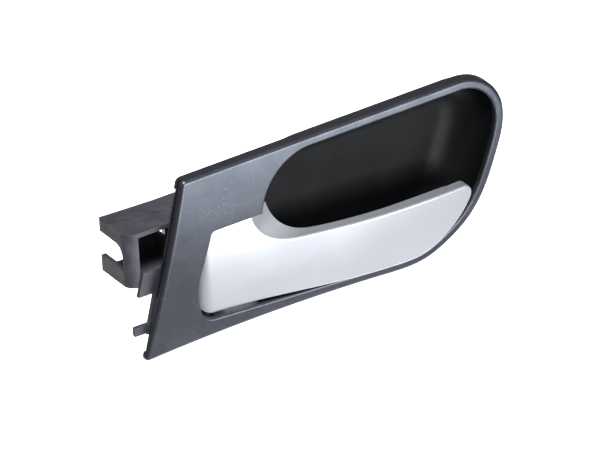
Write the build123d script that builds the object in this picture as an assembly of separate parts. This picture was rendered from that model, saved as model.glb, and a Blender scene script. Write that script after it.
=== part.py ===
"""Car interior door handle: a pull lever that turns in a trim bezel."""

import os
from math import cos, pi, radians, sin, sqrt

from build123d import *

# X runs along the handle to the sitter's right, Y goes into the door, Z is up.
# The origin is the middle between the two fixing bosses on the back.

# Bezel outline, front view
BEZEL_RIGHT = 90.6
BEZEL_TOP = 37.9
BEZEL_BOTTOM = -42.75
LEFT_TOP_X = -66.1
LEFT_BOTTOM_X = -88.5
LEFT_BOTTOM_RISE = 0.15
BOTTOM_ARCH = 2.15
CORNER_R = 20.5
TOP_LEFT_R = 2.5
BOTTOM_LEFT_R = 2.0
# Sweep of the right end, as shares of the outline's length and height from its lower right
SWEEP = ((0.0247, 0.516), (0.0676, 0.294), (0.1183, 0.149), (0.186, 0.0457))
SWEEP_END = 0.327
CURVE_STEPS = 16

# Bezel depth
FRONT_Y = -34.0
SKIRT_DEPTH = 6.2
SEAT_DEPTH = 7.6
FACE_T = 2.5
SKIRT_T = 2.2
CROWN_R = 420.0
CROWN_Z = 12.0
EDGE_R = 1.8
OPENING_EDGE_R = 0.9
LEFT_GROOVE = 1.1
LEFT_GROOVE_DEPTH = 1.0
LEFT_GROOVE_LOW = -14.0
LEFT_SIDE_DEPTH = 4.8
RIM = 4.5

# Cup opening and lever pocket
CUP_LEFT = -28.8
CUP_ARC_Z = 7.5
CUP_CORNER_R = 1.5
POCKET_TOP = 9.8
POCKET_TOP_X = -53.5
POCKET_WAIST_X = -61.6
POCKET_WAIST_Z = -14.0
POCKET_LOW_X = -60.2
POCKET_LOW_Z = -32.2
POCKET_END_X = 38.0
POCKET_END_DROP = 0.4
POCKET_TOP_R = 2.5
POCKET_WAIST_R = 24.0
POCKET_LOW_R = 8.0
POCKET_LIP_T = 1.6

# Finger cup
CUP_T = 1.6
CUP_LAP = 0.3
CUP_DEPTH = 21.0
CUP_WALL = 7.2
CUP_ROUND = 15.5
CUP_LEAN = 2.0
CUP_STEPS = 5
CUP_NOTCH_DEPTH = 15.2
CUP_TAB_X = -38.0
CUP_TAB_Z = 23.0
CUP_TAB_H = 11.0
TAB_T = 2.0
RIB_T = 1.4
RIB_REACH = 12.0
RIB_H = 4.0

# Lever
LEVER_GAP = 1.4
LEVER_SHELL_T = 2.0
LEVER_SINK = 3.8
LEVER_PROUD = 2.0
LEVER_PROUD_X = 15.0
LEVER_TIP_SINK = 3.4
LEVER_CROWN_R = 200.0
LEVER_CROWN_Z = -13.0
LEVER_GRIP_T = 5.4
LEVER_GRIP_SHARES = (0.48, 0.62, 0.80, 1.0)
LEVER_GRIP_LEFT_X = -12.4
LEVER_GRIP_LEFT_Z = -7.6
LEVER_GRIP_RIGHT_Z = -13.2
LEVER_NECK_X = -39.7
LEVER_NECK_LEAN = 0.25
SCOOP_LEAN = 1.72
SCOOP_REACH = 24.0
LEVER_WAIST_X = -43.0
LEVER_WAIST_T = 12.4
LEVER_HAUNCH_X = -24.0
LEVER_HAUNCH_T = 11.0
LEVER_THIN_X = -9.0
LEVER_THIN_T = 7.2
LEVER_TIP_R = 4.0
LEVER_EDGE_R = 0.9
LEVER_GROOVE = 0.7
LEVER_GROOVE_DEPTH = 0.8
SHELL_FIT = 0.05

# Pivot
PIVOT_X = -52.3
END_R = 8.5
BARREL_R = 4.8
BARREL_BOTTOM = -31.0
PIN_R = 2.0
RUN_FIT = 0.05
PIN_HEAD_R = 2.6
PIN_HEAD_T = 1.2
RETAINER_R = 3.6
RETAINER_T = 0.8
PIN_TAIL = 1.5

# Cable arm
ARM_R = 15.4
ARM_REST = 20.0
ARM_W = 5.0
ARM_BOTTOM = -2.0
HOOK_R = 4.5
NIPPLE_R = 2.5
WIRE_SLOT = 2.0
PEG_R = 1.5
PEG_H = 3.0

# Carrier
HOUSE_LEFT = -89.9
HOUSE_FRONT = -25.0
HOUSE_REAR = -2.9
HOUSE_TOP = 16.0
HOUSE_BOTTOM = -9.5
HOUSE_CORNER_R = 5.0
HOUSE_RETURN = 5.4
HOUSE_BACK_LEFT = -79.5
STEP_W = 0.6
STEP_DEPTH = 0.4
STEP_LEFT_Y = -9.5
STEP_RIGHT_Y = -15.0
EJECTOR_R = 0.8
WALL_T = 2.2
PLATE_T = 2.0
SLOT_LOW = -2.0
SLOT_HIGH = 9.5
SLOT_DEPTH = 17.4
SLOT_R = 5.0
WEB_X = -64.5
WEB_REAR = -13.0
WEB_WINDOW_LOW = 8.5
LEG_ROOM = 8.0
EAR_FRONT = -28.0
EAR_RIGHT = -45.0
EAR_T = 2.4
EAR_GAP = 2.0
BACK_LEFT = -41.8
BACK_RIGHT = -33.0
BACK_REAR = -4.6
BACK_BOTTOM = -8.0
STOP_FRONT = -18.0
FLANGE_TOP = 31.0
FLANGE_RIGHT = -46.5
SIDE_TOP = -2.6
SIDE_BOTTOM = -32.0
SIDE_INSET = 1.4
TONGUE_OUT = 6.5
TONGUE_TOP = -2.6
TONGUE_BOTTOM = -13.5
FINGER_OUT = 4.6
FINGER_TOP = -27.2
FINGER_BOTTOM = -31.2

# Fixing bosses and screws
BOSS_X = 37.0
BOSS_R = 4.0
BOSS_HOLE_R = 1.7
BOSS_HOLE_DEPTH = 7.0
SCREW_R = 1.4
SCREW_FIT = 0.02
SCREW_L = 4.8
SCREW_HEAD_R = 2.8
SCREW_HEAD_T = 1.8
SCREW_HOLE_R = 1.7
SCREW_RECESS_R = 1.2
SCREW_RECESS_DEPTH = 0.9
POST_R = 3.0
CARRIER_SCREWS = ((-60.0, 25.0), (-51.0, 25.0), (-72.5, -20.0))
SEAT_FIT = 0.05

# Spring and buffers
WIRE_R = 0.5
COIL_R = 4.6
COIL_PITCH = 1.1
COIL_TURNS = 3
COIL_LIFT = 0.8
FIXED_LEG_TURN = 20.0
FIXED_LEG_L = 24.0
MOVING_LEG_L = 12.0
CATCH_BACK = 4.0
CATCH_W = 3.0
BUFFER_R = 2.3
BUFFER_Z = 3.0
BUFFER_OFF = 6.2
BUFFER_GAP = 0.35
BUFFER_DOME_R = 0.8

# Derived places
SEAT_Y = FRONT_Y + SEAT_DEPTH
SKIRT_Y = FRONT_Y + SKIRT_DEPTH
CUP_ARC_R = BEZEL_TOP - RIM - CUP_ARC_Z
CUP_ARC_X = CUP_LEFT + CUP_ARC_R
LENGTH = BEZEL_RIGHT - LEFT_BOTTOM_X
HEIGHT = BEZEL_TOP - BEZEL_BOTTOM
PIVOT_Y = FRONT_Y + LEVER_SINK + END_R
LEVER_TOP = POCKET_TOP - LEVER_GAP
EAR_TOP_Z = HOUSE_TOP - PLATE_T
EAR_LOW_Z = BARREL_BOTTOM - EAR_GAP
WEB_RIGHT = WEB_X + WALL_T
REACH = 2 * LENGTH


def facing(y):
    """Plane that faces the sitter at depth y, with its own x and y along X and Z."""
    return Plane(origin=(0, y, 0), x_dir=(1, 0, 0), z_dir=(0, -1, 0))


def slab(face, y_near, y_far):
    """Front view face carried from depth y_near to depth y_far."""
    return extrude(facing(y_far) * face, amount=y_far - y_near)


def plate(face, z_low, z_high):
    """Plan view face carried from height z_low to height z_high."""
    return extrude(Pos(0, 0, z_low) * face, amount=z_high - z_low)


def block(x0, x1, y0, y1, z0, z1):
    """Block between two corners."""
    middle = Pos((x0 + x1) / 2, (y0 + y1) / 2, (z0 + z1) / 2)
    return middle * Box(x1 - x0, y1 - y0, z1 - z0)


def panel(x0, x1, z0, z1):
    """Front view rectangle between two corners."""
    return Pos((x0 + x1) / 2, (z0 + z1) / 2) * Rectangle(x1 - x0, z1 - z0)


def polygon(*points):
    return make_face(Polyline(*points, close=True))


def rod(x, z, r, y_near, y_far):
    """Round bar along Y."""
    return slab(Pos(x, z) * Circle(r), y_near, y_far)


def post(x, y, r, z_low, z_high):
    """Round bar along Z."""
    return plate(Pos(x, y) * Circle(r), z_low, z_high)


def nearest(face, x, y):
    """Corner of a flat face that lies nearest a point."""
    return face.vertices().sort_by_distance((x, y, 0))[0]


def inset(face, by):
    """Face drawn in by a distance, each free run of its edge drawn again as one curve."""
    plain = (GeomType.LINE, GeomType.CIRCLE)
    drawn = offset(face, -by).edges()
    edges = [edge for edge in drawn if edge.geom_type in plain]
    for run in Wire.combine([edge for edge in drawn if edge.geom_type not in plain]):
        points = [run @ (i / CURVE_STEPS) for i in range(CURVE_STEPS + 1)]
        edges.append(Spline(*points, tangents=(run % 0, run % 1)))
    return make_face(edges)


def crown(lift):
    """Everything behind the crowned face, moved back by lift."""
    middle = Pos(0, FRONT_Y + CROWN_R, CROWN_Z)
    return middle * Rot(0, 90, 0) * Cylinder(CROWN_R - lift, REACH)


def left_x(z):
    """Where the slanted left edge lies at height z."""
    share = (BEZEL_TOP - z) / HEIGHT
    return LEFT_TOP_X + share * (LEFT_BOTTOM_X - LEFT_TOP_X)


def outline():
    """Front view of the bezel."""
    low_left = (LEFT_BOTTOM_X, BEZEL_BOTTOM + LEFT_BOTTOM_RISE)
    high_left = (LEFT_TOP_X, BEZEL_TOP)
    high_right = (BEZEL_RIGHT - CORNER_R, BEZEL_TOP)
    right = (BEZEL_RIGHT, BEZEL_TOP - CORNER_R)
    low_right = (BEZEL_RIGHT - SWEEP_END * LENGTH, BEZEL_BOTTOM)
    arch = ((low_left[0] + low_right[0]) / 2, BEZEL_BOTTOM + BOTTOM_ARCH)
    bow = ThreePointArc(low_right, arch, low_left)
    swept = [(BEZEL_RIGHT - u * LENGTH, BEZEL_BOTTOM + v * HEIGHT) for u, v in SWEEP]
    side = Spline(right, *swept, low_right, tangents=((0, -1), bow % 0))
    turn = RadiusArc(high_right, right, CORNER_R)
    face = make_face([Line(low_left, high_left), Line(high_left, high_right), turn, side, bow])
    face = fillet(nearest(face, *high_left), TOP_LEFT_R)
    return fillet(nearest(face, *low_left), BOTTOM_LEFT_R)


def bottom_z(x):
    """Height of the opening's lower edge at x."""
    share = (x - POCKET_LOW_X) / (POCKET_END_X - POCKET_LOW_X)
    return POCKET_LOW_Z + share * (BEZEL_BOTTOM + RIM - POCKET_END_DROP - POCKET_LOW_Z)


def cup_hole(by):
    """Front view of the finger opening, drawn in by a distance: a rim inside the outline."""
    left = CUP_LEFT + by
    inner = inset(outline(), RIM + by)
    round_end = Pos(CUP_ARC_X, CUP_ARC_Z) * Circle(CUP_ARC_R - by)
    corner = (left, bottom_z(CUP_LEFT) + by)
    wide = polygon(
        (left, CUP_ARC_Z),
        corner,
        (POCKET_END_X, bottom_z(POCKET_END_X) + by),
        (BEZEL_RIGHT, BEZEL_BOTTOM),
        (BEZEL_RIGHT, BEZEL_TOP),
        (CUP_ARC_X, BEZEL_TOP),
        (CUP_ARC_X, CUP_ARC_Z),
    )
    wide = fillet(nearest(wide, *corner), CUP_CORNER_R)
    round_top = round_end & panel(2 * CUP_LEFT, CUP_ARC_X, CUP_ARC_Z, BEZEL_TOP)
    return inner & (round_top + wide)


def pocket():
    """Front view of the pocket that the lever's root lies in."""
    top_right = CUP_LEFT + CUP_ARC_R / 4
    face = polygon(
        (top_right, POCKET_TOP),
        (POCKET_TOP_X, POCKET_TOP),
        (POCKET_WAIST_X, POCKET_WAIST_Z),
        (POCKET_LOW_X, POCKET_LOW_Z),
        (top_right, bottom_z(top_right)),
    )
    face = fillet(nearest(face, POCKET_TOP_X, POCKET_TOP), POCKET_TOP_R)
    face = fillet(nearest(face, POCKET_LOW_X, POCKET_LOW_Z), POCKET_LOW_R)
    return fillet(nearest(face, POCKET_WAIST_X, POCKET_WAIST_Z), POCKET_WAIST_R)


def opening():
    """Front view of the whole opening in the bezel."""
    return cup_hole(0) + pocket()


def above_lever(shift):
    """Front view of the space above the lever's top edge, its neck moved right by shift."""
    slope = (LEVER_GRIP_RIGHT_Z - LEVER_GRIP_LEFT_Z) / (BEZEL_RIGHT - LEVER_GRIP_LEFT_X)
    neck = (LEVER_NECK_X + shift, POCKET_TOP + LEVER_GAP)
    grip_left = (LEVER_GRIP_LEFT_X + shift, LEVER_GRIP_LEFT_Z + slope * shift)
    grip_right = (2 * BEZEL_RIGHT, LEVER_GRIP_RIGHT_Z + slope * BEZEL_RIGHT)
    dip = Spline(neck, grip_left, tangents=((LEVER_NECK_LEAN, -1), (1, slope)))
    ridge = Line(grip_left, grip_right)
    rest = Polyline(grip_right, (2 * BEZEL_RIGHT, 2 * BEZEL_TOP), (neck[0], 2 * BEZEL_TOP), neck)
    return make_face([dip, ridge, rest])


def lever_view():
    """Front view of the opening less a gap all round, up to the top of the lever's root."""
    return inset(opening(), LEVER_GAP) & panel(-REACH, REACH, 2 * BEZEL_BOTTOM, POCKET_TOP - LEVER_GAP)


def lever_blank(body):
    """Body cut to the lever's front view: its top edge scooped for the thumb, its tip rounded."""
    body = (body & slab(lever_view(), 2 * FRONT_Y, HOUSE_REAR)) - scoop()
    tip = nearest(lever_view() - above_lever(0), BEZEL_RIGHT, LEVER_GRIP_RIGHT_Z)
    around = slab(Pos(tip.X, tip.Y) * Circle(LEVER_EDGE_R), 2 * FRONT_Y, HOUSE_REAR).solid()
    corner = body.edges().filter_by(lambda e: around.is_inside(e @ 0) and around.is_inside(e @ 1))
    return fillet(corner, LEVER_TIP_R)


def scoop():
    """Space above the lever, leaning to the right with depth so that it leaves a thumb scoop."""
    slope = (LEVER_GRIP_RIGHT_Z - LEVER_GRIP_LEFT_Z) / (BEZEL_RIGHT - LEVER_GRIP_LEFT_X)
    reach = SCOOP_REACH / SCOOP_LEAN
    near = facing(FRONT_Y - reach) * above_lever(-SCOOP_REACH)
    lean = Vector(SCOOP_LEAN, 1, SCOOP_LEAN * slope)
    return extrude(near, amount=2 * reach * lean.length, dir=lean)


def lever_tip_run():
    """Direction of the lever's face at its tip, turned in from the middle of the grip."""
    return (BEZEL_RIGHT - LEVER_PROUD_X, 2 * (LEVER_PROUD + LEVER_TIP_SINK))


def lever_run():
    """Plan view run of the lever's face from the pivot out along the grip."""
    front = (PIVOT_X, PIVOT_Y - END_R)
    grip = (LEVER_PROUD_X, FRONT_Y - LEVER_PROUD)
    tip = (BEZEL_RIGHT, FRONT_Y + LEVER_TIP_SINK)
    return Spline(front, grip, tip, tangents=((1, 0), lever_tip_run()))


def lever_path():
    """Plan view run of the lever's face: round the pivot, then out along the grip."""
    left = (PIVOT_X - END_R, PIVOT_Y)
    bend = RadiusArc(left, (PIVOT_X, PIVOT_Y - END_R), -END_R)
    return Wire([bend.edge(), lever_run().edge()])


def lever_layer(depth_near, depth_far):
    """Layer of the lever's crowned face, between two depths below it."""
    half = HEIGHT / 2
    sag = LEVER_CROWN_R - sqrt(LEVER_CROWN_R**2 - half**2)
    root = (PIVOT_X - END_R, PIVOT_Y, LEVER_CROWN_Z)
    start = Plane(origin=root, x_dir=(-1, 0, 0), z_dir=(0, -1, 0))
    near = ThreePointArc((-sag - depth_near, half), (-depth_near, 0), (-sag - depth_near, -half))
    far = ThreePointArc((-sag - depth_far, half), (-depth_far, 0), (-sag - depth_far, -half))
    face = make_face([near, Line(near @ 1, far @ 1), far, Line(far @ 0, near @ 0)])
    return sweep(start * face, path=lever_path())


def lever_plan():
    """Plan view of the lever's back: a barrel that thins out into the grip."""
    root = (PIVOT_X, PIVOT_Y + BARREL_R)
    grip = [lever_run() @ share + Vector(0, LEVER_GRIP_T) for share in LEVER_GRIP_SHARES]
    waist = (LEVER_WAIST_X, FRONT_Y + LEVER_WAIST_T)
    haunch = (LEVER_HAUNCH_X, FRONT_Y + LEVER_HAUNCH_T)
    thin = (LEVER_THIN_X, FRONT_Y + LEVER_THIN_T)
    rear = Spline(root, waist, haunch, thin, *grip, tangents=((1, 0), lever_tip_run()))
    front = 2 * FRONT_Y
    rest = Polyline(rear @ 1, (BEZEL_RIGHT, front), (PIVOT_X, front), root)
    root_round = Pos(PIVOT_X, PIVOT_Y) * Circle(END_R - LEVER_SHELL_T - SHELL_FIT)
    return make_face([rear, rest]) + root_round


def arm_place(off, side):
    """Plan point off along the cable arm at rest and side to its right."""
    a = radians(ARM_REST)
    return (PIVOT_X - off * sin(a) + side * cos(a), PIVOT_Y + off * cos(a) + side * sin(a))


def arm_left_x(y):
    """Where the resting arm's left face lies at depth y."""
    a = radians(ARM_REST)
    off = (y - PIVOT_Y + ARM_W / 2 * sin(a)) / cos(a)
    return arm_place(off, -ARM_W / 2)[0]


def leg_place(along, side):
    """Plan point along the spring's fixed leg from the coil, and side behind it."""
    a = radians(FIXED_LEG_TURN)
    x = PIVOT_X - COIL_R * sin(a) - along * cos(a) + side * sin(a)
    y = PIVOT_Y - COIL_R * cos(a) + along * sin(a) + side * cos(a)
    return (x, y)


def coil_top():
    """Height of the coil's upper end."""
    turns = COIL_TURNS + (ARM_REST + FIXED_LEG_TURN + 90) / 360
    return LEVER_TOP + COIL_LIFT + turns * COIL_PITCH


def left_strip(width):
    """Front view strip of a given width along the slanted left edge."""
    low = 2 * BEZEL_BOTTOM
    high = 2 * BEZEL_TOP
    slant = sqrt(1 + ((LEFT_TOP_X - LEFT_BOTTOM_X) / HEIGHT) ** 2)
    reach = width * slant
    near = ((left_x(low) + reach, low), (left_x(high) + reach, high))
    return polygon(*near, (left_x(high) - RIM, high), (left_x(low) - RIM, low))


def on_crown(point):
    """True for a point on the bezel's crowned face."""
    return abs(sqrt((point.Y - FRONT_Y - CROWN_R) ** 2 + (point.Z - CROWN_Z) ** 2) - CROWN_R) < SEAT_FIT


def bezel():
    """Graphite trim moulding: crowned plate, skirt, opening and screw posts."""
    view = outline()
    body = slab(view, 2 * FRONT_Y, SKIRT_Y) & crown(0)
    body = fillet(body.edges().filter_by(lambda e: on_crown(e @ 0) and on_crown(e @ 1)), EDGE_R)
    hollow = inset(view, SKIRT_T)
    body = body - (slab(hollow, 2 * FRONT_Y, SKIRT_Y) & crown(FACE_T))
    posts = CARRIER_SCREWS + ((CUP_TAB_X, CUP_TAB_Z),)
    for x, z in posts:
        body = body + (rod(x, z, POST_R, FRONT_Y, SEAT_Y - SEAT_FIT) & crown(FACE_T / 2))
    for x, z in posts:
        body = body - rod(x, z, SCREW_R + SCREW_FIT, SEAT_Y - SCREW_L - SCREW_FIT, SEAT_Y)
    lip_left = POCKET_LOW_X + POCKET_LOW_R
    lip_right = CUP_LEFT - CUP_LAP - CUP_T - BUFFER_GAP
    lip = polygon(
        (lip_left, bottom_z(lip_left)),
        (lip_right, bottom_z(lip_right)),
        (lip_right, bottom_z(lip_right) - POCKET_LIP_T),
        (lip_left, bottom_z(lip_left) - POCKET_LIP_T),
    )
    body = body + (slab(lip, 2 * FRONT_Y, SEAT_Y - SEAT_FIT) & crown(FACE_T / 2))
    body = body - slab(opening(), 2 * FRONT_Y, SEAT_Y)
    inner = inset(view, RIM / 2).face()
    edges = body.edges().filter_by(lambda e: on_crown(e @ 0) and on_crown(e @ 0.5) and on_crown(e @ 1))
    edges = edges.filter_by(lambda e: inner.is_inside((e.center().X, e.center().Z, 0)))
    body = fillet(edges, OPENING_EDGE_R)
    groove = left_strip(LEFT_GROOVE_DEPTH) & panel(-REACH, REACH, LEFT_GROOVE_LOW, 2 * BEZEL_TOP)
    groove = slab(groove, 2 * FRONT_Y, SEAT_Y)
    body = body - ((groove & crown(FACE_T)) - crown(FACE_T + LEFT_GROOVE))
    side = left_strip(SKIRT_T) & panel(-REACH, REACH, BEZEL_BOTTOM + RIM, BEZEL_TOP - RIM)
    return body - slab(side, FRONT_Y + LEFT_SIDE_DEPTH, SEAT_Y)


def cup_bowl(wall):
    """Bowl of the finger cup, grown by wall on every side: a straight wall, then a dished floor."""
    grow = CUP_LAP + wall
    bend_y = FRONT_Y + CUP_WALL
    levels = []
    for step in range(CUP_STEPS + 1):
        turn = pi / 2 * step / CUP_STEPS
        depth = bend_y + (CUP_DEPTH + wall - CUP_WALL) * sin(turn)
        drawn_in = CUP_LEAN * sin(turn) + (CUP_ROUND - CUP_LEAN) * (1 - cos(turn))
        levels.append(facing(depth) * cup_hole(drawn_in - grow))
    return slab(cup_hole(-grow), FRONT_Y, bend_y) + loft(levels)


def finger_cup():
    """Black bowl behind the opening, with a screw tab and a fixing boss."""
    bowl = cup_bowl(0)
    body = cup_bowl(CUP_T)
    tab_right = CUP_LEFT + CUP_ARC_R / 2
    tab_left = CUP_TAB_X - POST_R - CUP_T
    tab = panel(tab_left, tab_right, CUP_TAB_Z - CUP_TAB_H / 2, CUP_TAB_Z + CUP_TAB_H / 2)
    body = body + slab(tab, SEAT_Y, SEAT_Y + TAB_T)
    body = body + rod(BOSS_X, 0, BOSS_R, FRONT_Y + CUP_DEPTH, 0)
    ribs = Pos(BOSS_X, 0) * (Rectangle(2 * RIB_REACH, RIB_T) + Rectangle(RIB_T, 2 * RIB_REACH))
    body = body + slab(ribs, FRONT_Y + CUP_DEPTH, FRONT_Y + CUP_DEPTH + CUP_T + RIB_H)
    body = (body - bowl) & crown(FACE_T + SEAT_FIT)
    notch_right = CUP_LEFT + CUP_ARC_R * 2 / 3
    notch_y = FRONT_Y + CUP_NOTCH_DEPTH
    body = body - block(-REACH, notch_right, 2 * FRONT_Y, notch_y, bottom_z(CUP_LEFT), POCKET_TOP)
    body = body - rod(CUP_TAB_X, CUP_TAB_Z, SCREW_HOLE_R, SEAT_Y, SEAT_Y + TAB_T)
    return body - rod(BOSS_X, 0, BOSS_HOLE_R, -BOSS_HOLE_DEPTH, 0)


def carrier():
    """Black rear moulding that holds the pivot, the spring and the cable's end."""
    corner = (HOUSE_LEFT, HOUSE_FRONT)
    top = polygon(
        (HOUSE_LEFT, HOUSE_REAR),
        corner,
        (WEB_X, HOUSE_FRONT),
        (WEB_RIGHT, EAR_FRONT),
        (EAR_RIGHT, EAR_FRONT),
        (EAR_RIGHT, PIVOT_Y),
        (BACK_RIGHT, STOP_FRONT),
        (BACK_RIGHT, BACK_REAR),
        (WEB_X, BACK_REAR),
    )
    top = fillet(nearest(top, *corner), HOUSE_CORNER_R)
    body = plate(top, EAR_TOP_Z, HOUSE_TOP)
    floor = polygon(
        (HOUSE_LEFT, HOUSE_REAR),
        corner,
        (WEB_RIGHT, HOUSE_FRONT),
        (WEB_RIGHT, WEB_REAR),
        (WEB_X, BACK_REAR),
    )
    floor = fillet(nearest(floor, *corner), HOUSE_CORNER_R)
    body = body + plate(floor, HOUSE_BOTTOM, HOUSE_BOTTOM + PLATE_T)
    turn = HOUSE_LEFT + HOUSE_RETURN
    inner = (HOUSE_LEFT + WALL_T, HOUSE_FRONT + WALL_T)
    wall = polygon(
        (HOUSE_LEFT, HOUSE_REAR),
        corner,
        (turn, HOUSE_FRONT),
        (turn, inner[1]),
        inner,
        (inner[0], HOUSE_REAR),
    )
    wall = fillet(nearest(wall, *corner), HOUSE_CORNER_R)
    wall = fillet(nearest(wall, *inner), HOUSE_CORNER_R - WALL_T)
    body = body + plate(wall, HOUSE_BOTTOM, HOUSE_TOP)
    back_front = BACK_REAR - PLATE_T
    body = body + block(HOUSE_BACK_LEFT, WEB_X, back_front, BACK_REAR, HOUSE_BOTTOM, HOUSE_TOP)
    half_step = STEP_W / 2
    step = polygon(
        (2 * HOUSE_LEFT - WEB_X, 2 * STEP_LEFT_Y - STEP_RIGHT_Y - half_step),
        (WEB_X, STEP_RIGHT_Y - half_step),
        (WEB_X, STEP_RIGHT_Y + half_step),
        (2 * HOUSE_LEFT - WEB_X, 2 * STEP_LEFT_Y - STEP_RIGHT_Y + half_step),
    )
    body = body - plate(step, HOUSE_TOP - STEP_DEPTH, HOUSE_TOP)
    body = body - post(WEB_RIGHT, STEP_RIGHT_Y, EJECTOR_R, HOUSE_TOP - STEP_DEPTH, HOUSE_TOP)
    web = block(WEB_X, WEB_RIGHT, EAR_FRONT, WEB_REAR, EAR_LOW_Z - EAR_T, HOUSE_TOP)
    window_y = leg_place(0, 0)[1] + LEG_ROOM
    body = body + (web - block(2 * WEB_X, 0, 2 * FRONT_Y, window_y, WEB_WINDOW_LOW, EAR_TOP_Z))
    body = body + block(WEB_X, WEB_RIGHT, WEB_REAR, BACK_REAR, LEVER_TOP + BUFFER_GAP, HOUSE_TOP)
    ear = polygon(
        (WEB_X, SEAT_Y),
        (EAR_RIGHT, SEAT_Y),
        (EAR_RIGHT, PIVOT_Y),
        (WEB_RIGHT, WEB_REAR),
        (WEB_X, WEB_REAR),
    )
    body = body + plate(ear, EAR_LOW_Z - EAR_T, EAR_LOW_Z)
    flange_y = SEAT_Y + TAB_T
    body = body + slab(panel(WEB_X, FLANGE_RIGHT, EAR_TOP_Z, FLANGE_TOP), SEAT_Y, flange_y)
    side = polygon(
        (left_x(SIDE_TOP) + SIDE_INSET, SIDE_TOP),
        (WEB_RIGHT, SIDE_TOP),
        (WEB_RIGHT, SIDE_BOTTOM),
        (left_x(SIDE_BOTTOM) + SIDE_INSET, SIDE_BOTTOM),
    )
    tongue = polygon(
        (left_x(TONGUE_TOP) - TONGUE_OUT, TONGUE_TOP),
        (WEB_X, TONGUE_TOP),
        (WEB_X, TONGUE_BOTTOM),
        (left_x(TONGUE_BOTTOM) - TONGUE_OUT, TONGUE_BOTTOM),
    )
    finger = panel(left_x(FINGER_BOTTOM) - FINGER_OUT, WEB_X, FINGER_BOTTOM, FINGER_TOP)
    body = body + slab(side + tongue + finger, SEAT_Y, flange_y)
    body = body + block(BACK_LEFT, BACK_RIGHT, back_front, BACK_REAR, BACK_BOTTOM, HOUSE_TOP)
    body = body + block(BACK_LEFT, BACK_LEFT + PLATE_T, STOP_FRONT, BACK_REAR, BACK_BOTTOM, HOUSE_TOP)
    body = body + rod(-BOSS_X, 0, BOSS_R, back_front, 0)
    body = body - rod(-BOSS_X, 0, BOSS_HOLE_R, -BOSS_HOLE_DEPTH, 0)
    catch = leg_place(FIXED_LEG_L - CATCH_BACK, WIRE_R + SEAT_FIT + CATCH_W / 2)
    body = body + post(*catch, CATCH_W / 2, coil_top() - CATCH_W / 2, HOUSE_TOP)
    slot_y = HOUSE_REAR - SLOT_DEPTH
    slot = block(2 * HOUSE_LEFT, inner[0] + WALL_T, slot_y, 0, SLOT_LOW, SLOT_HIGH)
    bend = slot.edges().filter_by(Axis.X).sort_by_distance((HOUSE_LEFT, slot_y, SLOT_HIGH))[0]
    body = body - fillet(bend, SLOT_R)
    body = body - post(PIVOT_X, PIVOT_Y, PIN_R + SCREW_FIT, 2 * BEZEL_BOTTOM, BEZEL_TOP)
    for x, z in CARRIER_SCREWS:
        body = body - rod(x, z, SCREW_HOLE_R, SEAT_Y, flange_y)
    return body


def lever_front():
    """Silver face shell, swept round the pivot and along the grip."""
    body = lever_blank(lever_layer(0, LEVER_SHELL_T))
    skin = lever_layer(-SHELL_FIT, SHELL_FIT).solid()
    rim = body.edges().filter_by(lambda e: skin.is_inside(e @ 0.5))
    rim = rim.filter_by(lambda e: abs((e @ 0).X - PIVOT_X) + abs((e @ 1).X - PIVOT_X) > SHELL_FIT)
    return fillet(rim, LEVER_EDGE_R)


def lever_rear():
    """Silver back shell with the pivot barrel, the cable arm and the spring peg."""
    depth = LEVER_SHELL_T + SHELL_FIT
    body = lever_blank(plate(lever_plan(), 2 * BEZEL_BOTTOM, BEZEL_TOP))
    body = body - lever_layer(2 * FRONT_Y, depth)
    edge = lever_view() - above_lever(0)
    edge = fillet(nearest(edge, BEZEL_RIGHT, LEVER_GRIP_RIGHT_Z), LEVER_TIP_R)
    ring = edge - inset(edge, LEVER_GROOVE_DEPTH)
    ring = ring - panel(LEVER_NECK_X, LEVER_GRIP_LEFT_X, BEZEL_BOTTOM / 2, BEZEL_TOP)
    ring = slab(ring, 2 * FRONT_Y, HOUSE_REAR)
    body = body - (ring & lever_layer(0, depth + LEVER_GROOVE))
    body = body + post(PIVOT_X, PIVOT_Y, BARREL_R, BARREL_BOTTOM, LEVER_TOP)
    half = ARM_W / 2
    arm = polygon(arm_place(0, -half), arm_place(ARM_R, -half), arm_place(ARM_R, half), arm_place(0, half))
    hook = arm_place(ARM_R, 0)
    body = body + plate(arm + Pos(*hook) * Circle(HOOK_R), ARM_BOTTOM, LEVER_TOP)
    body = body + post(*arm_place(ARM_R - CATCH_W * 2, half), PEG_R, LEVER_TOP - PEG_R, LEVER_TOP + PEG_H)
    body = body - post(*hook, NIPPLE_R, ARM_BOTTOM, LEVER_TOP)
    half_slot = WIRE_SLOT / 2
    near, far = hook[1] - half_slot, hook[1] + half_slot
    body = body - block(hook[0] - 2 * HOOK_R, hook[0], near, far, ARM_BOTTOM, LEVER_TOP)
    return body - post(PIVOT_X, PIVOT_Y, PIN_R + RUN_FIT, 2 * BEZEL_BOTTOM, BEZEL_TOP)


def pivot_pin():
    """Steel pin through both ears, with a head on top."""
    tail = EAR_LOW_Z - EAR_T - PIN_TAIL
    body = post(PIVOT_X, PIVOT_Y, PIN_R, tail, HOUSE_TOP + PIN_HEAD_T)
    return body + post(PIVOT_X, PIVOT_Y, PIN_HEAD_R, HOUSE_TOP, HOUSE_TOP + PIN_HEAD_T)


def pin_retainer():
    """Push-on steel washer under the lower ear."""
    high = EAR_LOW_Z - EAR_T
    ring = post(PIVOT_X, PIVOT_Y, RETAINER_R, high - RETAINER_T, high)
    return ring - post(PIVOT_X, PIVOT_Y, PIN_R + SCREW_FIT, high - RETAINER_T, high)


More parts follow.
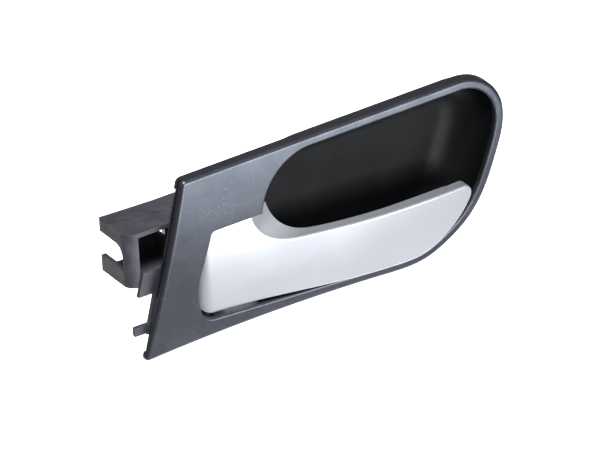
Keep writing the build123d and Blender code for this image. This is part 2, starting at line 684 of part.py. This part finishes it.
def return_spring():
    """Steel torsion spring round the pin: a fixed leg in the housing, a moving one on the peg."""
    low = LEVER_TOP + COIL_LIFT
    rise = coil_top() - low
    place = Pos(PIVOT_X, PIVOT_Y, low) * Rot(0, 0, ARM_REST)
    coil = place * Helix(COIL_PITCH, rise, COIL_R, lefthand=True)
    moving = Line((*arm_place(MOVING_LEG_L, COIL_R), low), coil @ 0)
    fixed = Line(coil @ 1, (*leg_place(FIXED_LEG_L, 0), low + rise))
    body = sweep(Plane(origin=coil @ 0, z_dir=coil % 0) * Circle(WIRE_R), path=coil)
    for leg in (moving, fixed):
        body = body + sweep(Plane(origin=leg @ 0, z_dir=leg % 0) * Circle(WIRE_R), path=leg)
    for joint in (coil @ 0, coil @ 1):
        body = body + Pos(joint) * Sphere(WIRE_R)
    return body


def buffer(x_seat, x_face):
    """Rubber plug along X with a rounded face."""
    place = Plane(origin=(x_seat, PIVOT_Y + BUFFER_OFF, BUFFER_Z), z_dir=(x_face - x_seat, 0, 0))
    body = extrude(place * Circle(BUFFER_R), amount=abs(x_face - x_seat))
    return fillet(body.edges().sort_by_distance((x_face, PIVOT_Y, BUFFER_Z))[0], BUFFER_DOME_R)


def rest_face_x():
    return arm_left_x(PIVOT_Y + BUFFER_OFF + BUFFER_R - BUFFER_DOME_R) - BUFFER_GAP


def rest_buffer():
    """Rubber plug that the cable arm comes to rest on."""
    return buffer(WEB_RIGHT, rest_face_x())


def open_buffer():
    """Rubber plug that ends the pull, where the arm has swung as far past the pivot."""
    return buffer(BACK_LEFT, 2 * PIVOT_X - rest_face_x())


def screw(x, z):
    """Tapping screw with a cross recess, driven from behind."""
    head = SEAT_Y + TAB_T
    body = rod(x, z, SCREW_HEAD_R, head, head + SCREW_HEAD_T)
    body = fillet(body.edges().sort_by(Axis.Y)[-1], SCREW_RECESS_DEPTH)
    body = body + rod(x, z, SCREW_R, SEAT_Y - SCREW_L, head)
    floor = head + SCREW_HEAD_T - SCREW_RECESS_DEPTH
    slim = SCREW_RECESS_R / 4
    cross = panel(x - SCREW_RECESS_R, x + SCREW_RECESS_R, z - slim, z + slim)
    cross = cross + panel(x - slim, x + slim, z - SCREW_RECESS_R, z + SCREW_RECESS_R)
    return body - slab(cross, floor, head + SCREW_HEAD_T)


def carrier_screws():
    """Three screws that hold the carrier to the bezel."""
    return Compound([screw(x, z).solid() for x, z in CARRIER_SCREWS])


def cup_screws():
    """Screw that holds the cup's tab to the bezel."""
    return screw(CUP_TAB_X, CUP_TAB_Z)


PIECES = {
    "bezel": bezel,
    "finger_cup": finger_cup,
    "carrier": carrier,
    "lever_front": lever_front,
    "lever_rear": lever_rear,
    "pivot_pin": pivot_pin,
    "pin_retainer": pin_retainer,
    "return_spring": return_spring,
    "rest_buffer": rest_buffer,
    "open_buffer": open_buffer,
    "carrier_screws": carrier_screws,
    "cup_screws": cup_screws,
}

os.makedirs("parts", exist_ok=True)
for name, make in PIECES.items():
    export_step(make(), f"parts/{name}.step")
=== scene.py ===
"""Car interior door handle: its moulded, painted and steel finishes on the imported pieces."""

from math import cos, pi, radians, sin

import bpy
from mathutils import Matrix, Vector


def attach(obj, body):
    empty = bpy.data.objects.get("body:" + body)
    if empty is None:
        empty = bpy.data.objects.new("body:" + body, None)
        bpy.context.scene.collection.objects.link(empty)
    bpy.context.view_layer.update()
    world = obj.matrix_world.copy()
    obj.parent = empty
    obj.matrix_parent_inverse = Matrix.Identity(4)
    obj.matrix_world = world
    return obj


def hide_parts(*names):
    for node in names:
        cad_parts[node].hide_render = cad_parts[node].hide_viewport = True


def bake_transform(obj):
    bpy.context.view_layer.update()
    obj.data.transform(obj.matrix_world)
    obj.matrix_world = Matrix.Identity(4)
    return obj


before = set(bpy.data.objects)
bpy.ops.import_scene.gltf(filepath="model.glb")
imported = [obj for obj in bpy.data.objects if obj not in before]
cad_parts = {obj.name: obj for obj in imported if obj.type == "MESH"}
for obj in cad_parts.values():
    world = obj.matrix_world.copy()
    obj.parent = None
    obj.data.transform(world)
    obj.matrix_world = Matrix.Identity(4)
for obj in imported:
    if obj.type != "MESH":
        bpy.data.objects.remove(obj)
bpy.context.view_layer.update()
MM = 0.001


# Trim bezel
# One injection moulding in graphite-coloured plastic, with a fine spark-eroded grain on
# its face. It is pushed into the door card from the front and carries all the rest.
GRAPHITE_DEEP = (0.102, 0.110, 0.131, 1)
GRAPHITE_PALE = (0.136, 0.146, 0.170, 1)
GRAPHITE_RUBBED = (0.200, 0.210, 0.235, 1)
DUST = (0.30, 0.315, 0.345, 1)


def put(tree, kind, **inputs):
    """One shader node in a tree, with its inputs set or linked by socket name."""
    node = tree.nodes.new(kind)
    for name, value in inputs.items():
        wire(tree, value, node.inputs[name.replace("_", " ")])
    return node


def wire(tree, value, socket):
    """Links a socket to another one, or sets it to a plain value."""
    if isinstance(value, bpy.types.NodeSocket):
        tree.links.new(value, socket)
    else:
        socket.default_value = value


def effect(name, takes, gives):
    """An empty node group with named inputs and outputs, and its two end nodes."""
    tree = bpy.data.node_groups.new(name, "ShaderNodeTree")
    for label, kind, value in takes:
        socket = tree.interface.new_socket(label, in_out="INPUT", socket_type=kind)
        socket.default_value = value
    for label, kind in gives:
        tree.interface.new_socket(label, in_out="OUTPUT", socket_type=kind)
    return tree, tree.nodes.new("NodeGroupInput"), tree.nodes.new("NodeGroupOutput")


def apply_effect(tree, group, **inputs):
    """Places an effect in a material with its own values."""
    node = tree.nodes.new("ShaderNodeGroup")
    node.node_tree = group
    for name, value in inputs.items():
        wire(tree, value, node.inputs[name.replace("_", " ")])
    return node


def maths(tree, operation, *values):
    """Result of one sum on values or sockets."""
    node = tree.nodes.new("ShaderNodeMath")
    node.operation = operation
    for value, socket in zip(values, node.inputs):
        wire(tree, value, socket)
    return node.outputs[0]


def span(tree, value, low, high, to_low=0.0, to_high=1.0):
    """A value carried from one range to another, held at its ends."""
    node = put(tree, "ShaderNodeMapRange", Value=value)
    node.inputs["From Min"].default_value = low
    node.inputs["From Max"].default_value = high
    node.inputs["To Min"].default_value = to_low
    node.inputs["To Max"].default_value = to_high
    return node.outputs["Result"]


def tint(tree, share, first, second):
    """Colour between two, by a share."""
    node = tree.nodes.new("ShaderNodeMix")
    node.data_type = "RGBA"
    wire(tree, share, node.inputs["Factor"])
    wire(tree, first, node.inputs["A"])
    wire(tree, second, node.inputs["B"])
    return node.outputs["Result"]


def on_piece(tree):
    """Place on the piece, in metres, which moves with it."""
    return tree.nodes.new("ShaderNodeTexCoord").outputs["Object"]


def moulded_grain():
    """Spark-eroded texture of a tool: small rounded cells of uneven size."""
    tree, takes, gives = effect(
        "moulded_grain",
        [("Cells per metre", "NodeSocketFloat", 1600.0)],
        [("Height", "NodeSocketFloat"), ("Tone", "NodeSocketFloat")],
    )
    place = on_piece(tree)
    density = takes.outputs["Cells per metre"]
    cells = put(tree, "ShaderNodeTexVoronoi", Vector=place, Scale=density)
    cells.feature = "SMOOTH_F1"
    rough = put(tree, "ShaderNodeTexNoise", Vector=place, Scale=density, Detail=3.0)
    height = maths(tree, "ADD", cells.outputs["Distance"], rough.outputs["Fac"])
    tree.links.new(height, gives.inputs["Height"])
    broad = put(tree, "ShaderNodeTexNoise", Vector=place, Scale=maths(tree, "MULTIPLY", density, 0.05))
    broad.inputs["Detail"].default_value = 5.0
    tone = maths(tree, "ADD", maths(tree, "MULTIPLY", broad.outputs["Fac"], 0.6),
                 maths(tree, "MULTIPLY", rough.outputs["Fac"], 0.4))
    tree.links.new(span(tree, tone, 0.35, 0.65), gives.inputs["Tone"])
    return tree


def edge_rub(reach):
    """Mask of the outer edges that hands and tools rub."""
    tree, takes, gives = effect(
        "edge_rub",
        [("Amount", "NodeSocketFloat", 1.0)],
        [("Mask", "NodeSocketFloat")],
    )
    soft = tree.nodes.new("ShaderNodeBevel")
    soft.samples = 6
    soft.inputs["Radius"].default_value = reach
    sharp = tree.nodes.new("ShaderNodeNewGeometry")
    turn = tree.nodes.new("ShaderNodeVectorMath")
    turn.operation = "DOT_PRODUCT"
    tree.links.new(soft.outputs["Normal"], turn.inputs[0])
    tree.links.new(sharp.outputs["Normal"], turn.inputs[1])
    edge = span(tree, turn.outputs["Value"], 0.995, 0.93)
    patchy = put(tree, "ShaderNodeTexNoise", Vector=on_piece(tree), Scale=260.0, Detail=4.0)
    patchy = span(tree, patchy.outputs["Fac"], 0.38, 0.62, 0.25, 1.0)
    mask = maths(tree, "MULTIPLY", maths(tree, "MULTIPLY", edge, patchy), takes.outputs["Amount"])
    tree.links.new(mask, gives.inputs["Mask"])
    return tree


def dust_specks():
    """Sparse pale specks, each a fraction of a millimetre across."""
    tree, takes, gives = effect(
        "dust_specks",
        [("Specks per metre", "NodeSocketFloat", 330.0), ("Share", "NodeSocketFloat", 0.1)],
        [("Mask", "NodeSocketFloat")],
    )
    cells = put(tree, "ShaderNodeTexVoronoi", Vector=on_piece(tree), Scale=takes.outputs["Specks per metre"])
    chance = tree.nodes.new("ShaderNodeSeparateColor")
    tree.links.new(cells.outputs["Color"], chance.inputs["Color"])
    kept = maths(tree, "LESS_THAN", chance.outputs["Red"], takes.outputs["Share"])
    size = span(tree, chance.outputs["Green"], 0.0, 1.0, 0.06, 0.2)
    near = maths(tree, "LESS_THAN", cells.outputs["Distance"], size)
    tree.links.new(maths(tree, "MULTIPLY", kept, near), gives.inputs["Mask"])
    return tree


def handling_marks():
    """Faint smears and fine hairline scratches that change the gloss."""
    tree, takes, gives = effect(
        "handling_marks",
        [("Smears per metre", "NodeSocketFloat", 40.0)],
        [("Smear", "NodeSocketFloat"), ("Scratch", "NodeSocketFloat")],
    )
    place = on_piece(tree)
    smear = put(tree, "ShaderNodeTexNoise", Vector=place, Scale=takes.outputs["Smears per metre"], Detail=6.0)
    smear.inputs["Distortion"].default_value = 0.6
    tree.links.new(span(tree, smear.outputs["Fac"], 0.35, 0.7), gives.inputs["Smear"])
    drawn = put(tree, "ShaderNodeMapping", Vector=place)
    drawn.inputs["Rotation"].default_value = (0.2, 0.9, 0.4)
    drawn.inputs["Scale"].default_value = (30.0, 900.0, 900.0)
    hair = put(tree, "ShaderNodeTexNoise", Vector=drawn.outputs["Vector"], Scale=1.0, Detail=2.0)
    tree.links.new(span(tree, hair.outputs["Fac"], 0.66, 0.72), gives.inputs["Scratch"])
    return tree


def finish(name):
    """A new material with its shader, for one finish of the handle."""
    material = bpy.data.materials.new(name)
    material.use_nodes = True
    tree = material.node_tree
    return material, tree, tree.nodes["Principled BSDF"]


def coat(node, material):
    """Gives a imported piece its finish."""
    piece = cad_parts[node]
    piece.data.materials.clear()
    piece.data.materials.append(material)


def relief(tree, shader, height, depth, strength=1.0):
    """Fine relief on a shader's surface, with its real depth in metres."""
    bump = put(tree, "ShaderNodeBump", Height=height, Strength=strength)
    bump.inputs["Distance"].default_value = depth
    tree.links.new(bump.outputs["Normal"], shader.inputs["Normal"])


GRAIN = moulded_grain()
EDGE_RUB = edge_rub(0.5 * MM)
SPECKS = dust_specks()
MARKS = handling_marks()


def graphite_plastic():
    material, tree, shader = finish("graphite_grained_plastic")
    grain = apply_effect(tree, GRAIN, Cells_per_metre=1700.0)
    rub = apply_effect(tree, EDGE_RUB, Amount=0.55)
    dust = apply_effect(tree, SPECKS, Specks_per_metre=800.0, Share=0.38)
    marks = apply_effect(tree, MARKS, Smears_per_metre=35.0)
    colour = tint(tree, grain.outputs["Tone"], GRAPHITE_DEEP, GRAPHITE_PALE)
    colour = tint(tree, rub.outputs["Mask"], colour, GRAPHITE_RUBBED)
    settled = span(tree, marks.outputs["Smear"], 0.1, 0.7, 0.1, 1.0)
    colour = tint(tree, maths(tree, "MULTIPLY", dust.outputs["Mask"], settled), colour, DUST)
    tree.links.new(colour, shader.inputs["Base Color"])
    gloss = span(tree, marks.outputs["Smear"], 0.0, 1.0, 0.33, 0.41)
    gloss = maths(tree, "SUBTRACT", gloss, maths(tree, "MULTIPLY", rub.outputs["Mask"], 0.08))
    tree.links.new(gloss, shader.inputs["Roughness"])
    shader.inputs["Metallic"].default_value = 0.85
    relief(tree, shader, grain.outputs["Height"], 0.03 * MM, 0.5)
    return material


coat("bezel", graphite_plastic())


# Finger cup
# A smooth black bowl moulded by itself, so that its satin skin can differ from the grained
# trim. It is pressed up behind the opening and held by one screw tab.
CUP_BLACK = (0.0055, 0.0058, 0.0064, 1)
CUP_WORN = (0.0100, 0.0105, 0.0115, 1)


def satin_black():
    material, tree, shader = finish("satin_black_plastic")
    marks = apply_effect(tree, MARKS, Smears_per_metre=28.0)
    grain = apply_effect(tree, GRAIN, Cells_per_metre=2600.0)
    dust = apply_effect(tree, SPECKS, Specks_per_metre=300.0, Share=0.03)
    colour = tint(tree, marks.outputs["Smear"], CUP_BLACK, CUP_WORN)
    colour = tint(tree, maths(tree, "MULTIPLY", dust.outputs["Mask"], 0.15), colour, DUST)
    tree.links.new(colour, shader.inputs["Base Color"])
    gloss = span(tree, marks.outputs["Smear"], 0.0, 1.0, 0.34, 0.42)
    gloss = maths(tree, "ADD", gloss, maths(tree, "MULTIPLY", marks.outputs["Scratch"], 0.06))
    tree.links.new(gloss, shader.inputs["Roughness"])
    shader.inputs["Specular IOR Level"].default_value = 0.2
    relief(tree, shader, grain.outputs["Height"], 0.006 * MM, 0.4)
    return material


coat("finger_cup", satin_black())


# Carrier
# A plain black glass-filled moulding behind the left end. It holds the pivot pin and the
# spring, and the end of the latch cable sits in its slotted housing.
CARRIER_BLACK = (0.078, 0.078, 0.094, 1)
CARRIER_GREY = (0.116, 0.116, 0.138, 1)
CARRIER_RUBBED = (0.16, 0.162, 0.175, 1)


def filled_black():
    material, tree, shader = finish("glass_filled_black_plastic")
    grain = apply_effect(tree, GRAIN, Cells_per_metre=900.0)
    rub = apply_effect(tree, EDGE_RUB, Amount=0.8)
    marks = apply_effect(tree, MARKS, Smears_per_metre=60.0)
    flow = put(tree, "ShaderNodeTexNoise", Vector=on_piece(tree), Scale=90.0, Detail=6.0, Distortion=1.5)
    share = span(tree, flow.outputs["Fac"], 0.35, 0.68)
    colour = tint(tree, share, CARRIER_BLACK, CARRIER_GREY)
    colour = tint(tree, rub.outputs["Mask"], colour, CARRIER_RUBBED)
    tree.links.new(colour, shader.inputs["Base Color"])
    gloss = span(tree, marks.outputs["Smear"], 0.0, 1.0, 0.38, 0.55)
    tree.links.new(gloss, shader.inputs["Roughness"])
    relief(tree, shader, grain.outputs["Height"], 0.02 * MM, 0.5)
    return material


FILLED_BLACK = filled_black()
coat("carrier", FILLED_BLACK)


# Lower wall of the cable window
# The carrier's inner wall runs on to the rear below the cable's way to the lever arm, moulded
# in one with it, so that the housing is dark inside.
WALL_LOW = Vector((-64.4, -12.9, -9.4)) * MM
WALL_HIGH = Vector((-62.8, -4.7, 1.2)) * MM


def upright_wall(name, low, high):
    """Flat-sided wall between two corners, with softened edges."""
    corners = [(x, y, z) for x in (low.x, high.x) for y in (low.y, high.y) for z in (low.z, high.z)]
    faces = [(0, 1, 3, 2), (4, 6, 7, 5), (0, 4, 5, 1), (2, 3, 7, 6), (0, 2, 6, 4), (1, 5, 7, 3)]
    mesh = bpy.data.meshes.new(name)
    mesh.from_pydata(corners, [], faces)
    piece = bpy.data.objects.new(name, mesh)
    bpy.context.scene.collection.objects.link(piece)
    softened = piece.modifiers.new("softened_edges", "BEVEL")
    softened.width = 0.2 * MM
    softened.segments = 2
    return piece


window_wall = upright_wall("window_wall", WALL_LOW, WALL_HIGH)
window_wall.data.materials.append(FILLED_BLACK)
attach(window_wall, "base")


# Lever
# Two plastic shells snapped together along the groove, then sprayed as one with satin
# silver. The rear shell has the barrel that turns on the pin and the arm for the cable.
SILVER = (0.66, 0.672, 0.715, 1)
SILVER_FLAKE = (0.77, 0.782, 0.825, 1)
SILVER_WORN = (0.52, 0.53, 0.56, 1)


def satin_silver():
    material, tree, shader = finish("satin_silver_paint")
    marks = apply_effect(tree, MARKS, Smears_per_metre=22.0)
    rub = apply_effect(tree, EDGE_RUB, Amount=0.35)
    flake = put(tree, "ShaderNodeTexVoronoi", Vector=on_piece(tree), Scale=9000.0)
    chance = tree.nodes.new("ShaderNodeSeparateColor")
    tree.links.new(flake.outputs["Color"], chance.inputs["Color"])
    glint = span(tree, chance.outputs["Red"], 0.0, 1.0, 0.2, 0.8)
    colour = tint(tree, glint, SILVER, SILVER_FLAKE)
    colour = tint(tree, rub.outputs["Mask"], colour, SILVER_WORN)
    tree.links.new(colour, shader.inputs["Base Color"])
    shader.inputs["Metallic"].default_value = 0.55
    gloss = span(tree, marks.outputs["Smear"], 0.0, 1.0, 0.30, 0.37)
    tree.links.new(gloss, shader.inputs["Roughness"])
    orange_peel = put(tree, "ShaderNodeTexNoise", Vector=on_piece(tree), Scale=420.0, Detail=2.0)
    relief(tree, shader, orange_peel.outputs["Fac"], 0.01 * MM, 0.25)
    return material


SATIN_SILVER = satin_silver()
coat("lever_front", SATIN_SILVER)
coat("lever_rear", SATIN_SILVER)


# Pivot pin and its retainer
# A headed steel pin, turned and zinc plated, dropped through both ears from above. A push-on
# spring-steel washer under the lower ear keeps it in.
ZINC = (0.56, 0.565, 0.57, 1)
ZINC_DULL = (0.36, 0.365, 0.37, 1)


def zinc_steel():
    material, tree, shader = finish("zinc_plated_steel")
    marks = apply_effect(tree, MARKS, Smears_per_metre=120.0)
    rub = apply_effect(tree, EDGE_RUB, Amount=0.7)
    spangle = put(tree, "ShaderNodeTexVoronoi", Vector=on_piece(tree), Scale=700.0)
    spread = span(tree, spangle.outputs["Distance"], 0.0, 0.8)
    colour = tint(tree, marks.outputs["Smear"], ZINC, ZINC_DULL)
    colour = tint(tree, rub.outputs["Mask"], colour, SILVER)
    tree.links.new(colour, shader.inputs["Base Color"])
    shader.inputs["Metallic"].default_value = 1.0
    tree.links.new(span(tree, spread, 0.0, 1.0, 0.24, 0.40), shader.inputs["Roughness"])
    return material


ZINC_STEEL = zinc_steel()
coat("pivot_pin", ZINC_STEEL)
coat("pin_retainer", ZINC_STEEL)


# Return spring
# Torsion spring of drawn wire round the pin, between the lever's barrel and the upper ear.
# One leg bears on the housing's catch and stays, the other lies on the lever arm's peg.
PIVOT = Vector((-52.3, -21.7, 0.0)) * MM
COIL_R = 4.6 * MM
WIRE_R = 0.5 * MM
COIL_LOW = 9.2 * MM
COIL_PITCH = 1.1 * MM
ARM_TURN = radians(20.0)
FIXED_TURN = radians(20.0)
WHOLE_TURNS = 3
COIL_TURNS = WHOLE_TURNS + (ARM_TURN + FIXED_TURN + pi / 2) / (2 * pi)
MOVING_LEG = 12.0 * MM
FIXED_LEG = 24.0 * MM
STEPS_A_TURN = 40
WIRE = (0.44, 0.43, 0.41, 1)
WIRE_DARK = (0.27, 0.26, 0.25, 1)


def drawn_wire():
    material, tree, shader = finish("drawn_spring_wire")
    marks = apply_effect(tree, MARKS, Smears_per_metre=300.0)
    colour = tint(tree, marks.outputs["Smear"], WIRE, WIRE_DARK)
    tree.links.new(colour, shader.inputs["Base Color"])
    shader.inputs["Metallic"].default_value = 1.0
    gloss = span(tree, marks.outputs["Scratch"], 0.0, 1.0, 0.22, 0.40)
    tree.links.new(gloss, shader.inputs["Roughness"])
    return material


def spring_line():
    """Middle of the wire: moving leg, coil from its lower end up, fixed leg."""
    moving = Vector((COIL_R * cos(ARM_TURN) - MOVING_LEG * sin(ARM_TURN),
                     COIL_R * sin(ARM_TURN) + MOVING_LEG * cos(ARM_TURN), COIL_LOW))
    points = [PIVOT + moving]
    steps = round(COIL_TURNS * STEPS_A_TURN)
    for i in range(steps + 1):
        turn = i / steps * COIL_TURNS
        a = ARM_TURN - 2 * pi * turn
        points.append(PIVOT + Vector((COIL_R * cos(a), COIL_R * sin(a), COIL_LOW + turn * COIL_PITCH)))
    end = points[-1]
    points.append(end + FIXED_LEG * Vector((-cos(FIXED_TURN), sin(FIXED_TURN), 0)))
    return points


def wire_tube(name, points, radius, sides=14):
    """Closed tube along a line of points, with flat ends."""
    rings, faces, corners = [], [], []
    across = Vector((0, 0, 1))
    for i, point in enumerate(points):
        along = (points[min(i + 1, len(points) - 1)] - points[max(i - 1, 0)]).normalized()
        side = across.cross(along).normalized()
        high = along.cross(side)
        rings.append([len(corners) + j for j in range(sides)])
        for j in range(sides):
            a = 2 * pi * j / sides
            corners.append(point + radius * (cos(a) * side + sin(a) * high))
    for low, top in zip(rings, rings[1:]):
        for j in range(sides):
            k = (j + 1) % sides
            faces.append((low[j], low[k], top[k], top[j]))
    faces.append(tuple(reversed(rings[0])))
    faces.append(tuple(rings[-1]))
    mesh = bpy.data.meshes.new(name)
    mesh.from_pydata(corners, [], faces)
    mesh.shade_smooth()
    piece = bpy.data.objects.new(name, mesh)
    bpy.context.scene.collection.objects.link(piece)
    return piece


spring = wire_tube("twisting_spring", spring_line(), WIRE_R)
spring.data.materials.append(drawn_wire())
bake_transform(spring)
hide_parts("return_spring")


# Rubber buffers
# Two black rubber plugs that take up the lever's arm at the ends of its travel, each glued
# into its seat on the carrier.
RUBBER = (0.012, 0.012, 0.012, 1)
RUBBER_BLOOM = (0.030, 0.030, 0.029, 1)


def buffer_rubber():
    material, tree, shader = finish("buffer_rubber")
    grain = apply_effect(tree, GRAIN, Cells_per_metre=3000.0)
    colour = tint(tree, grain.outputs["Tone"], RUBBER, RUBBER_BLOOM)
    tree.links.new(colour, shader.inputs["Base Color"])
    tree.links.new(span(tree, grain.outputs["Tone"], 0.0, 1.0, 0.7, 0.85), shader.inputs["Roughness"])
    relief(tree, shader, grain.outputs["Height"], 0.02 * MM, 0.4)
    return material


BUFFER_RUBBER = buffer_rubber()
coat("rest_buffer", BUFFER_RUBBER)
coat("open_buffer", BUFFER_RUBBER)


# Tapping screws
# Zinc plated pan-head screws with a cross recess, driven from behind into the bezel's posts.
coat("carrier_screws", ZINC_STEEL)
coat("cup_screws", ZINC_STEEL)


# Studio
# A plain pale floor well below the handle, in an even grey room. One soft box lies over the
# floor behind it, one stands low in front and one hangs above.
FLOOR_Z = -0.16
FLOOR_SIZE = 6.0
FLOOR_PALE = (0.62, 0.62, 0.62, 1)
FLOOR_SHADE = (0.59, 0.59, 0.59, 1)
AIM = Vector((-11.5, -34.0, -1.6)) * MM
VIEW_LEFT = radians(30.0)
VIEW_ABOVE = radians(30.0)
VIEW_ROLL = radians(4.0)
VIEW_WIDTH = 0.250
VIEW_FAR = 1.6
VIEW_CLIP = 20.0


def pale_floor():
    material, tree, shader = finish("pale_floor")
    tone = put(tree, "ShaderNodeTexNoise", Vector=on_piece(tree), Scale=3.0, Detail=2.0)
    colour = tint(tree, tone.outputs["Fac"], FLOOR_SHADE, FLOOR_PALE)
    tree.links.new(colour, shader.inputs["Base Color"])
    shader.inputs["Roughness"].default_value = 0.9
    shader.inputs["Specular IOR Level"].default_value = 0.1
    return material


def soft_box(name, place, aim, width, height, watts, colour=(1, 1, 1), spread=pi):
    """Rectangular soft light at a place, turned to an aim, whose beam opens by a spread."""
    light = bpy.data.lights.new(name, "AREA")
    light.shape = "RECTANGLE"
    light.size = width
    light.size_y = height
    light.energy = watts
    light.color = colour
    light.spread = spread
    lamp = bpy.data.objects.new(name, light)
    lamp.location = place
    lamp.rotation_mode = "QUATERNION"
    lamp.rotation_quaternion = (Vector(aim) - Vector(place)).to_track_quat("-Z", "Y")
    lamp.visible_camera = False
    bpy.context.scene.collection.objects.link(lamp)


half = FLOOR_SIZE / 2
floor_mesh = bpy.data.meshes.new("floor")
corners = [(-half, -half), (half, -half), (half, half), (-half, half)]
floor_mesh.from_pydata([(x, y, FLOOR_Z) for x, y in corners], [], [(0, 1, 2, 3)])
floor_mesh.materials.append(pale_floor())
floor = bpy.data.objects.new("floor", floor_mesh)
bpy.context.scene.collection.objects.link(floor)

room = bpy.data.worlds.new("even_room")
room.use_nodes = True
room.node_tree.nodes["Background"].inputs["Color"].default_value = (1.0, 1.0, 1.0, 1)
room.node_tree.nodes["Background"].inputs["Strength"].default_value = 0.17
bpy.context.scene.world = room

OVER_FLOOR = (0.15, 0.25, -0.06)
UNDER_BOX = (0.15, 0.25, FLOOR_Z)
LOW_IN_FRONT = (0.06, -0.30, -0.02)
HIGH_ABOVE = (-0.16, -0.30, 0.58)
COOL_WHITE = (0.93, 0.96, 1.0)
DAY_WHITE = (0.95, 0.97, 1.0)
soft_box("backdrop_box", OVER_FLOOR, UNDER_BOX, 0.66, 0.60, watts=4.5)
soft_box("front_box", LOW_IN_FRONT, AIM, 0.30, 0.16, watts=0.25, colour=COOL_WHITE, spread=radians(80.0))
soft_box("top_box", HIGH_ABOVE, AIM, 0.18, 0.18, watts=0.15, colour=DAY_WHITE, spread=radians(30.0))

lens = bpy.data.cameras.new("camera")
lens.type = "ORTHO"
lens.ortho_scale = VIEW_WIDTH
lens.clip_end = VIEW_CLIP
camera = bpy.data.objects.new("camera", lens)
back = Vector((-sin(VIEW_LEFT) * cos(VIEW_ABOVE), -cos(VIEW_LEFT) * cos(VIEW_ABOVE), sin(VIEW_ABOVE)))
level = Vector((cos(VIEW_LEFT), -sin(VIEW_LEFT), 0))
upright = back.cross(level)
right = level * cos(VIEW_ROLL) - upright * sin(VIEW_ROLL)
up = level * sin(VIEW_ROLL) + upright * cos(VIEW_ROLL)
turned = Matrix((right, up, back)).transposed().to_4x4()
camera.matrix_world = Matrix.Translation(AIM + back * VIEW_FAR) @ turned
bpy.context.scene.collection.objects.link(camera)
bpy.context.scene.camera = camera
bpy.context.scene.view_settings.view_transform = "Standard"
